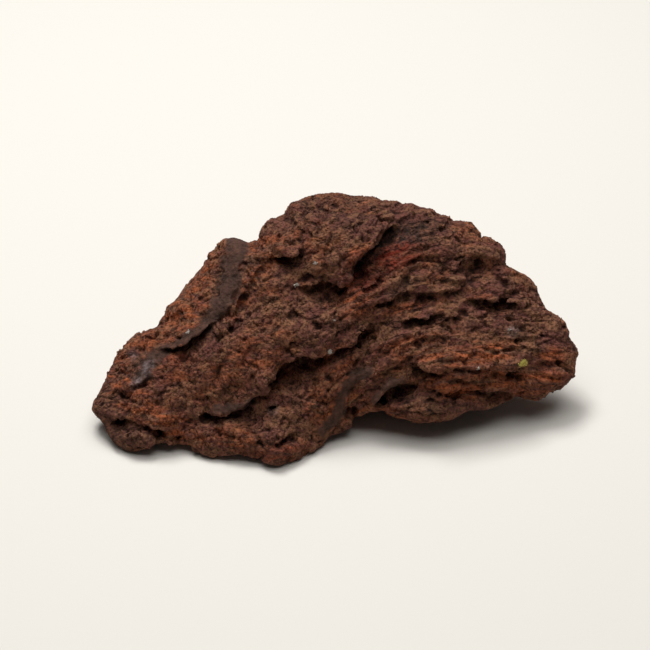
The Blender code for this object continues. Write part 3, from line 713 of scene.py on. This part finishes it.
# Dark patches, in the smooth band's colour: partly the rock's darker skin, partly painted shade, as on the
# wall under the top block's right edge at (19, 29)
darkSkinAndShadePatches = (
    (1.0, (35, 37.5), (11, 4.5), 12), (1.1, (19, 29), (11, 2.2), 42), (0.8, (-75, -18), (9, 4), 50),
    (0.6, (79, -3), (5, 2.5), 0), (0.5, (-30, 25.5), (6, 3), 40), (0.6, (30, 15), (7, 2), 25),
    (0.6, (-80, -46), (13, 5), -8), (0.5, (-90, -31), (5, 8), 0), (0.45, (42, -32), (18, 4), -5),
    (0.35, (3, 46), (20, 6), 0), (0.5, (-24, -51), (16, 5), 0),
)
# Pale patches: those on the smooth band at the left end are painted sheen, the others pale dust
palePatches = (
    (0.5, (-72, -17.5), (2.0, 3.5), -35), (0.9, (-76.5, -23.5), (1.6, 2.8), -35),
    (0.5, (-78, -12.5), (2, 1.5), 0), (0.5, (76, -2.5), (2, 2), 0), (0.4, (-21, -34), (2, 2.5), 0),
)
# Where the rock is smoother than the rest
quietPatches = (
    (0.8, (7, 20), (9, 8), 20), (0.9, (-80, -28), (10, 9), 0), (0.8, (-62, -28), (16, 10), -20),
    (0.9, (70, -10), (24, 6), -5), (0.8, (5, -30), (10, 12), 50), (1.0, (-57, 7), (14, 8), 50),
    (0.7, (50, -30), (22, 5), -5), (0.6, (55, -4), (14, 5), 0), (0.6, (-28, -14), (14, 10), 30),
    (0.9, (-22, 35), (10, 6), 15), (0.9, (80, -15.5), (4, 3), 0),
)
redPatches = (
    (1.0, (28, 27), (10, 5), 20), (0.8, (17, 20), (7, 8), 30), (0.5, (-21, -51), (10, 4), 10),
    (0.4, (-60, -14), (6, 3), 0),
)
colourPatches = {"rust": rustPatches, "red": redPatches, "dark": darkSkinAndShadePatches, "pale": palePatches}


def patchesAt(a, b, patches):
    share = np.zeros(a.shape)
    for strength, middle, half, slant in patches:
        out = np.sqrt(inEllipse(a, b, middle, half, slant))
        share = np.maximum(share, strength * smooth(1.5 - 0.9 * out))
    return share


def gravelAt(a, b, w):  # how coarse the rock's skin is, from place to place
    place = np.stack((a, b, w), 1)
    return (0.75 + 0.9 * noiseAt(place, 17.0, 21)) * (1 - 0.75 * patchesAt(a, b, quietPatches))


def paintFace(mesh):  # the attributes that the material reads
    points = readPoints(mesh)
    points[:, :2] += np.array(rock["boxMiddle"]) * mm
    a, b, w = fromWorld(points)
    limit, depth = rock["paintEnd"]
    near = smooth((w - limit) / depth)
    setAttribute(mesh, "flow", flowPlace(a, b, w), "FLOAT_VECTOR")
    setAttribute(mesh, "band", bandAt(a, b, w))
    for name, patches in colourPatches.items():
        setAttribute(mesh, name, patchesAt(a, b, patches) * near)
    for name, rounds in creviceRounds.items():
        setAttribute(mesh, name, crevices(mesh, rounds))


# the material paints shade into the hollows and folds that these find
creviceRounds = {"crevice": 3, "fold": 22}  # more rounds see wider hollows


def crevices(mesh, rounds):  # how far each point lies in a hollow (over 0) or stands on a ridge (under 0), mm
    points = readPoints(mesh)
    normals = readNormals(mesh)
    edges = readEdges(mesh)
    left, right = edges.T
    count = np.bincount(edges.ravel(), minlength=len(points))[:, None]
    even = points.copy()
    for _ in range(rounds):
        total = np.stack([
            np.bincount(left, even[right, i], len(points)) + np.bincount(right, even[left, i], len(points))
            for i in range(3)
        ], 1)
        even = total / count
    return ((even - points) * normals).sum(1) / mm


crusts = {  # crystals in mm
    "white": {"material": "zeolite crust", "crystal": 0.8, "dark": "#7a7167", "light": "#c4bdb1"},
    "yellow": {"material": "sulphur crust", "crystal": 0.8, "dark": "#a3923a", "light": "#cdbf62"},
}

scoriaSizes = {  # mm
    "grain": 2.4,
    "patch": 16.0,
    "streak": 2.6,  # layers along the flow
    "pore": 2.0,
    # near-black specks where the bump is low: painted shade in pits too fine for the mesh
    "speck": 1.1,
    "plate": 4.0,  # broken plates, each of its own tone, with hairline cracks round some of them
    "chip": 1.8,  # smaller ones on them
}

scoriaColours = {
    "brownDark": "#3a271e",
    "brownLight": "#8d5d47",
    "brownPatch": "#643f2f",
    "mauve": "#623932",
    "olive": "#845c42",
    "orangeDark": "#63321f",
    "orangeLight": "#b16038",
    "redDark": "#541a10",
    "redLight": "#853220",
    "bandDark": "#2b201b",
    "bandLight": "#45332c",
    # pale grey of the painted sheen on the band and of the dust spots
    "dust": "#85797a",
    # the specks' near-black is painted shade in fine pits
    "speck": "#170e0b",
    # near-black of the hairline cracks, and of the painted shade in hollows and folds
    "crevice": "#1a110d",
    "ridge": "#936251",
}


def makeScoriaMaterial():
    # Scoria: frothy basalt, oxidised red-brown by steam as it cooled. Broken, never worked: matt and grainy.
    scoria, tree, shader = newMaterial("broken scoria")
    paint = {name: hexColour(code) for name, code in scoriaColours.items()}
    place = addNode(tree, "ShaderNodeTexCoord", out="Object")
    flow = addNode(tree, "ShaderNodeAttribute", out="Vector", attribute_name="flow")
    rust, red, dark, pale, white, yellow, calmBand, crevice, fold, tint = (
        addNode(tree, "ShaderNodeAttribute", out="Fac", attribute_name=name)
        for name in ("rust", "red", "dark", "pale", "white", "yellow", "band", "crevice", "fold", "tint")
    )

    # object coordinates are in metres, and the flow's are in mm
    drawn = addNode(tree, "ShaderNodeVectorMath", {0: flow, 1: (0.25, 1.0, 0.4)}, operation="MULTIPLY")
    grain, patch, streak, speck = (
        addNode(
            tree, "ShaderNodeTexNoise", {"Vector": over, "Scale": scale, "Detail": detail, "Roughness": mix}
        )
        for over, scale, detail, mix in (
            (place, 1000 / scoriaSizes["grain"], 4.0, 0.62),
            (place, 1000 / scoriaSizes["patch"], 3.0, 0.6),
            (drawn, 1 / scoriaSizes["streak"], 3.0, 0.6),
            (place, 1000 / scoriaSizes["speck"], 2.0, 0.5),
        )
    )
    poreScale = 1000 / scoriaSizes["pore"]
    pores = addNode(tree, "ShaderNodeTexVoronoi", {"Vector": place, "Scale": poreScale}, "Distance")

    sway = addNode(tree, "ShaderNodeTexNoise", {"Vector": flow, "Scale": 0.4, "Detail": 3.0}, "Color")
    swayed = addNode(
        tree, "ShaderNodeVectorMath", {0: sway, 1: (3.0, 3.0, 3.0), 2: flow}, operation="MULTIPLY_ADD"
    )
    tones = []
    for name in ("plate", "chip"):
        plate = addNode(
            tree, "ShaderNodeTexVoronoi", {"Vector": swayed, "Scale": 1 / scoriaSizes[name]}, "Color"
        )
        tones.append(addNode(tree, "ShaderNodeSeparateColor", {0: plate}))
    tone = addNode(tree, "ShaderNodeMath", {0: tones[0], 1: tones[1]}, operation="ADD")
    rim = addNode(
        tree, "ShaderNodeTexVoronoi", {"Vector": swayed, "Scale": 1 / scoriaSizes["plate"]}, "Distance",
        feature="DISTANCE_TO_EDGE"
    )
    opened = addNode(tree, "ShaderNodeTexNoise", {"Vector": flow, "Scale": 0.25, "Detail": 3.0})

    # shares: none of it at the first number, and at the second number as much as the third one says
    grainy = addNode(tree, "ShaderNodeMath", {0: grain, 1: tint}, operation="ADD")
    ragged = addNode(tree, "ShaderNodeMath", {0: grain, 1: 0.9, 2: calmBand}, operation="MULTIPLY_ADD")
    shares = {
        name: addNode(tree, "ShaderNodeMapRange", {0: source, 1: none, 2: full, 4: most})
        for name, source, none, full, most in (
            ("brown", grainy, 0.34, 0.66, 1.0),
            ("patch", patch, 0.35, 0.7, 0.5),
            ("deep", patch, 0.5, 0.36, 0.6),
            ("mauve", tone, 0.85, 0.5, 0.75),
            ("olive", tone, 1.15, 1.5, 0.7),
            ("looseRust", patch, 0.49, 0.7, 0.7),
            ("rustLayers", streak, 0.4, 0.6, 1.0),
            ("redLayers", streak, 0.25, 0.6, 1.0),
            ("brokenDark", grain, 0.7, 0.4, 1.0),
            ("brokenPale", grain, 0.38, 0.62, 1.0),
            ("band", ragged, 0.65, 1.3, 0.88),
            ("speck", speck, 0.5, 0.36, 0.65),
            ("hairline", rim, 0.07, 0.03, 0.6),
            ("opened", opened, 0.5, 0.6, 1.0),
            # hollow and fold: painted shade, darker the deeper a point lies in a crack or fold
            ("hollow", crevice, 0.06, 0.55, 0.65),
            ("fold", fold, 0.35, 1.6, 0.8),
            ("ridge", crevice, -0.05, -0.45, 0.2),
        )
    }
    rough = addNode(tree, "ShaderNodeMath", {0: 1.0, 1: calmBand}, operation="SUBTRACT")
    rust = addNode(tree, "ShaderNodeMath", {0: shares["looseRust"], 1: rust}, operation="MAXIMUM")
    hairline = addNode(
        tree, "ShaderNodeMath", {0: shares["hairline"], 1: shares["opened"]}, operation="MULTIPLY"
    )
    rusty, reddened, darkened, paled, specks, cracks = (
        addNode(tree, "ShaderNodeMath", {0: first, 1: second}, operation="MULTIPLY")
        for first, second in (
            (rust, shares["rustLayers"]),
            (red, shares["redLayers"]),
            (dark, shares["brokenDark"]),
            (pale, shares["brokenPale"]),
            (shares["speck"], rough),
            (hairline, rough),
        )
    )
    # dark patches take the band's colour: darker skin and painted shade
    banded = addNode(tree, "ShaderNodeMath", {0: shares["band"], 1: darkened}, operation="MAXIMUM")

    blends = {}
    for name, share in (("orange", grainy), ("red", grainy), ("band", grain)):
        mixed = addNode(tree, "ShaderNodeMapRange", {0: share, 1: 0.32, 2: 0.7})
        blends[name] = addNode(
            tree, "ShaderNodeMix", {0: mixed, 6: paint[name + "Dark"], 7: paint[name + "Light"]}, 2,
            data_type="RGBA"
        )
    colour = paint["brownDark"]
    for share, over in (
        (shares["brown"], paint["brownLight"]),
        (shares["patch"], paint["brownPatch"]),
        (shares["deep"], paint["mauve"]),
        (shares["mauve"], paint["mauve"]),
        (shares["olive"], paint["olive"]),
        (rusty, blends["orange"]),
        (reddened, blends["red"]),
        (banded, blends["band"]),
        # pale patches: painted sheen on the band, dust elsewhere
        (paled, paint["dust"]),
        # specks: painted shade in the fine pits of the bump
        (specks, paint["speck"]),
        (cracks, paint["crevice"]),
        # painted shade: hollows and folds darkened to the crevice colour
        (shares["hollow"], paint["crevice"]),
        (shares["fold"], paint["crevice"]),
        (shares["ridge"], paint["ridge"]),
        (white, hexColour(crusts["white"]["light"])),
        (yellow, hexColour(crusts["yellow"]["light"])),
    ):
        colour = addNode(tree, "ShaderNodeMix", {0: share, 6: colour, 7: over}, 2, data_type="RGBA")
    tree.links.new(colour, shader.inputs["Base Color"])

    roughness = addNode(tree, "ShaderNodeMapRange", {0: calmBand, 3: 0.93, 4: 0.82})
    tree.links.new(roughness, shader.inputs["Roughness"])
    shader.inputs["IOR"].default_value = 1.5
    shader.inputs["Specular IOR Level"].default_value = 0.15  # pores swallow most of the shine

    height = grain
    quiet = addNode(tree, "ShaderNodeMapRange", {0: calmBand, 3: 1.0, 4: 0.55})
    steps = ((speck, "ADD"), (pores, "SUBTRACT"), (hairline, "SUBTRACT"), (quiet, "MULTIPLY"))
    for other, operation in steps:
        height = addNode(tree, "ShaderNodeMath", {0: height, 1: other}, operation=operation)
    bump = addNode(tree, "ShaderNodeBump", {"Height": height, "Strength": 1.0, "Distance": 0.8 * mm})
    tree.links.new(bump, shader.inputs["Normal"])
    return scoria


lavaRock = newObject("lavaRock", bpy.data.meshes.new("lavaRock"))
with editing(lavaRock.data) as bm:
    bmesh.ops.create_icosphere(bm, subdivisions=rock["sphereLevel"], radius=1.0)
shapeFace(lavaRock)
voxelRemesh(lavaRock, rock["voxel"])
print("face shaped:", len(lavaRock.data.vertices), "points")
roughen(lavaRock)
voxelRemesh(lavaRock, rock["fineVoxel"])
keepLargestSkin(lavaRock)
print("roughened:", len(lavaRock.data.vertices), "points")

a, b, w = fromWorld(readPoints(lavaRock.data))
setAttribute(lavaRock.data, "flow", flowPlace(a, b, w), "FLOAT_VECTOR")
setAttribute(lavaRock.data, "calm", 1 - 0.8 * bandAt(a, b, w))
setAttribute(lavaRock.data, "gravel", gravelAt(a, b, w))
setAttribute(lavaRock.data, "layered", 0.05 + 0.7 * smooth((a + 5) / 30))
scoria = makeScoriaMaterial()
runTree(lavaRock, makeSkinTree(), {**skin, "Material": scoria})
voxelRemesh(lavaRock, rock["finestVoxel"])
keepLargestSkin(lavaRock)

# first the back and underside lose some of their points, then the whole rock does
w = fromWorld(readPoints(lavaRock.data))[2]
behind = np.nonzero(w < rock["backLimit"])[0]
lavaRock.vertex_groups.new(name="back").add(behind.tolist(), 1.0, "REPLACE")
kept = 1 - rock["backLoss"] * len(behind) / len(w)
for group, ratio in (("back", kept), ("", rock["triangles"] / (2 * len(w) * kept))):
    thin = lavaRock.modifiers.new("Decimate", "DECIMATE")
    thin.ratio = min(1.0, ratio)
    thin.vertex_group = group
    applyModifiers(lavaRock)
    print("thinned:", len(lavaRock.data.polygons), "faces")
mendSkin(lavaRock)
keepLargestSkin(lavaRock)
cutSole(lavaRock)
keepLargestSkin(lavaRock)
mendSkin(lavaRock)
points = readPoints(lavaRock.data)
points[:, :2] -= np.array(rock["boxMiddle"]) * mm
writePoints(lavaRock.data, points)
lavaRock.vertex_groups.clear()
print("skin:", len(lavaRock.data.polygons), "triangles")

paintFace(lavaRock.data)
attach(lavaRock, "root")
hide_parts("lava_rock")

# Small spots of other minerals: strength, middle and half sizes on the face, slant in degrees
whiteSpots = (
    (1, (2, -10.8), (0.5, 0.7), 10), (1, (-4, 24.7), (0.3, 0.4), 0), (1, (-11.5, 16.2), (0.6, 0.35), 30),
    (1, (74.6, -2.3), (0.3, 0.6), -10), (1, (4, 2), (0.25, 0.25), 0), (1, (-55.5, -3), (0.3, 0.25), 0),
    (1, (62, -18), (0.3, 0.2), 0), (1, (-59, 14), (0.25, 0.3), 0),
)
yellowSpots = ((1, (80.5, -15.6), (1.3, 0.7), 10), (1, (79.4, -16.2), (0.7, 0.4), 30))

# What clings to the rough stone: spacing and half sizes in mm, and how deep it sinks in, by its half size
crumbKinds = {
    "coarseCrumbs": {
        "spacing": 2.1, "smallest": 0.45, "largest": 1.3, "sink": 0.5, "seed": 3, "mask": "crumbly"
    },
    "mediumCrumbs": {
        "spacing": 1.7, "smallest": 0.35, "largest": 0.85, "sink": 0.35, "seed": 4, "mask": "crumbly"
    },
    "fineCrumbs": {
        "spacing": 1.3, "smallest": 0.25, "largest": 0.55, "sink": 0.15, "seed": 5, "mask": "crumbly"
    },
    "whiteFlecks": {
        "spacing": 0.32, "smallest": 0.25, "largest": 0.5, "sink": 0.4, "seed": 6, "mask": "white"
    },
    "yellowFleck": {
        "spacing": 0.32, "smallest": 0.3, "largest": 0.55, "sink": 0.4, "seed": 7, "mask": "yellow"
    },
}
clinging = {
    "patchSize": 7.0,  # spacing of the crumbly places, mm
    "thinOut": (-25.0, 20.0, 0.15),  # where they thin out behind the rim, over what depth, and what is left
    "lowest": 1.8,  # no crumb sits lower, so none lies under the feet, mm
    "facing": 0.3,  # flecks lie only where the skin faces the front at least this much
}


def makeCrumbTree():
    sizes = dict.fromkeys(("spacing", "smallest", "largest", "sink"), "Float")
    tree, given = startTree("scoriaCrumbs", **sizes, seed="Int", mask="String")
    seed = given["Seed"]
    share = addNode(tree, "GeometryNodeInputNamedAttribute", {"Name": given["Mask"]})
    gap = addNode(tree, "ShaderNodeMath", {0: given["Spacing"], 1: mm}, operation="MULTIPLY")
    square = addNode(tree, "ShaderNodeMath", {0: gap, 1: gap}, operation="MULTIPLY")
    most = addNode(tree, "ShaderNodeMath", {0: 1.0, 1: square}, operation="DIVIDE")
    density = addNode(tree, "ShaderNodeMath", {0: most, 1: share}, operation="MULTIPLY")
    scatter = {"Mesh": given["Geometry"], "Density": density, "Seed": seed}
    spots = addNode(tree, "GeometryNodeDistributePointsOnFaces", scatter)
    chance = addNode(tree, "FunctionNodeRandomValue", {"Seed": seed}, 1)
    steep = addNode(tree, "ShaderNodeMath", {0: chance, 1: 3.0}, operation="POWER")  # few are large
    radius = addNode(tree, "ShaderNodeMapRange", {0: steep, 3: given["Smallest"], 4: given["Largest"]})
    radius = addNode(tree, "ShaderNodeMath", {0: radius, 1: mm}, operation="MULTIPLY")
    down = addNode(tree, "ShaderNodeMath", {0: radius, 1: given["Sink"]}, operation="MULTIPLY")
    down = addNode(tree, "ShaderNodeMath", {0: down, 1: -1.0}, operation="MULTIPLY")
    normal = spots.node.outputs["Normal"]
    inward = addNode(tree, "ShaderNodeVectorMath", {0: normal, "Scale": down}, operation="SCALE")
    sunk = addNode(tree, "GeometryNodeSetPosition", {"Geometry": spots, "Offset": inward})
    turn = addNode(
        tree, "FunctionNodeRandomValue", {"Max": (6.28, 6.28, 6.28), "Seed": seed}, data_type="FLOAT_VECTOR"
    )
    uneven = addNode(
        tree, "FunctionNodeRandomValue", {"Min": (0.65, 0.65, 0.65), "Max": (1.2, 1.2, 1.2), "Seed": 11},
        data_type="FLOAT_VECTOR"
    )
    size = addNode(tree, "ShaderNodeVectorMath", {0: uneven, "Scale": radius}, operation="SCALE")
    ball = addNode(tree, "GeometryNodeMeshIcoSphere", {"Radius": 1.0, "Subdivisions": 1})
    balls = {"Points": sunk, "Instance": ball, "Rotation": turn, "Scale": size}
    placed = addNode(tree, "GeometryNodeInstanceOnPoints", balls)
    shade = addNode(tree, "FunctionNodeRandomValue", {2: -0.2, 3: 0.2, "Seed": 12}, 1)
    toned = {"Geometry": placed, "Name": "tint", "Value": shade}
    tinted = addNode(tree, "GeometryNodeStoreNamedAttribute", toned, domain="INSTANCE")
    return endTree(tree, tinted, given["Material"])


def makeCrust(material, crystal, dark, light):
    # A mineral that grew from steam in the pores: pale, chalky, barely glossy
    crust, tree, shader = newMaterial(material)
    place = addNode(tree, "ShaderNodeTexCoord", out="Object")
    grain = addNode(tree, "ShaderNodeTexNoise", {"Vector": place, "Scale": 1000 / crystal, "Detail": 3.0})
    share = addNode(tree, "ShaderNodeMapRange", {0: grain, 1: 0.35, 2: 0.65})
    tones = {0: share, 6: hexColour(dark), 7: hexColour(light)}
    colour = addNode(tree, "ShaderNodeMix", tones, 2, data_type="RGBA")
    tree.links.new(colour, shader.inputs["Base Color"])
    bump = addNode(tree, "ShaderNodeBump", {"Height": grain, "Strength": 0.7, "Distance": 0.2 * mm})
    tree.links.new(bump, shader.inputs["Normal"])
    shader.inputs["Roughness"].default_value = 0.7
    shader.inputs["IOR"].default_value = 1.48
    return crust


def chipCrumbs(mesh, seed):  # knocks every corner of every crumb in or out
    corners = 12  # of a ball of twenty faces
    points = readPoints(mesh).reshape(-1, corners, 3)
    middle = points.mean(1, keepdims=True)
    chipped = np.random.default_rng(seed).uniform(0.7, 1.25, (len(points), corners, 1))
    writePoints(mesh, (middle + (points - middle) * chipped).reshape(-1, 3))


crumbTree = makeCrumbTree()
points = readPoints(lavaRock.data)
across, up, out = fromWorld(points + np.array((*rock["boxMiddle"], 0)) * mm)
lumpy = noiseAt(np.stack((across, up, out), 1), clinging["patchSize"], 20)
patchy = smooth(0.6 + 2.4 * lumpy) * gravelAt(across, up, out)
hollow = crevices(lavaRock.data, creviceRounds["crevice"])
bare = smooth((hollow - 0.05) / 0.3)  # nothing clings deep in the cracks
limit, depth, least = clinging["thinOut"]
front = least + (1 - least) * smooth((out - limit) / depth)
crumbly = patchy * (1 - bare) * front * (1 - bandAt(across, up, out)) ** 2
crumbly *= points[:, 2] > clinging["lowest"] * mm
setAttribute(lavaRock.data, "crumbly", crumbly)
pitch = math.radians(rock["pitch"])
facing = readNormals(lavaRock.data) @ (0, -math.cos(pitch), math.sin(pitch)) > clinging["facing"]
setAttribute(lavaRock.data, "white", patchesAt(across, up, whiteSpots) * facing)
setAttribute(lavaRock.data, "yellow", patchesAt(across, up, yellowSpots) * facing)
finishes = {
    "crumbly": scoria,
    "white": makeCrust(**crusts["white"]),
    "yellow": makeCrust(**crusts["yellow"]),
}
for name, crumbs in crumbKinds.items():
    carrier = newObject(name, lavaRock.data.copy())
    runTree(carrier, crumbTree, {**crumbs, "Material": finishes[crumbs["mask"]]})
    chipCrumbs(carrier.data, crumbs["seed"])
    print(name, len(carrier.data.polygons), "triangles")
    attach(carrier, "root")

studio = {
    "floor": "#dcd8d0",
    "sky": 0.05,
    "keyPower": 10.2,
    "keySize": 0.45,
    "keyPlace": (-0.22, 0.43, 1.15),
    "softPower": 20.0,
    "softSize": 1.5,
    "softPlace": (0.05, 0.15, 1.5),
    "aim": (0, 0, 0.03),  # where both lights point
}

floor = newObject("floor", bpy.data.meshes.new("floor"))
with editing(floor.data) as bm:
    bmesh.ops.create_grid(bm, x_segments=2, y_segments=2, size=3.0)
plaster, tree, shader = newMaterial("pale floor")
shader.inputs["Base Color"].default_value = hexColour(studio["floor"])
shader.inputs["Roughness"].default_value = 0.8
floor.data.materials.append(plaster)

world = bpy.data.worlds.new("studio")
world.use_nodes = True
world.node_tree.nodes["Background"].inputs[0].default_value = (1.0, 1.0, 1.0, 1.0)
world.node_tree.nodes["Background"].inputs[1].default_value = studio["sky"]
bpy.context.scene.world = world

for name in ("key", "soft"):  # a key from behind on the left, and a wide soft one overhead
    panel = bpy.data.lights.new(name, "AREA")
    panel.size = studio[name + "Size"]
    panel.energy = studio[name + "Power"]
    light = newObject(name, panel)
    light.location = studio[name + "Place"]
    light.rotation_euler = (Vector(studio["aim"]) - light.location).to_track_quat("-Z", "Y").to_euler()

lens = {
    "focal": 102.74,  # mm
    "sensor": 36.0,
    "pitch": 37.131,
    "roll": -1.629,
    "distance": 0.751,
    "target": (-0.00335, -0.01119, 0.0372),
}
pitch, roll = math.radians(lens["pitch"]), math.radians(lens["roll"])
forward = Vector((0, math.cos(pitch), -math.sin(pitch)))
level = Vector((1, 0, 0))
upright = level.cross(forward)
right = math.cos(roll) * level + math.sin(roll) * upright
up = math.cos(roll) * upright - math.sin(roll) * level
cameraData = bpy.data.cameras.new("camera")
cameraData.sensor_width = lens["sensor"]
cameraData.lens = lens["focal"]
camera = newObject("camera", cameraData)
placed = Matrix((right, up, -forward)).transposed().to_4x4()
placed.translation = Vector(lens["target"]) - forward * lens["distance"]
camera.matrix_world = placed
bpy.context.scene.camera = camera
bpy.context.scene.view_settings.view_transform = "Standard"
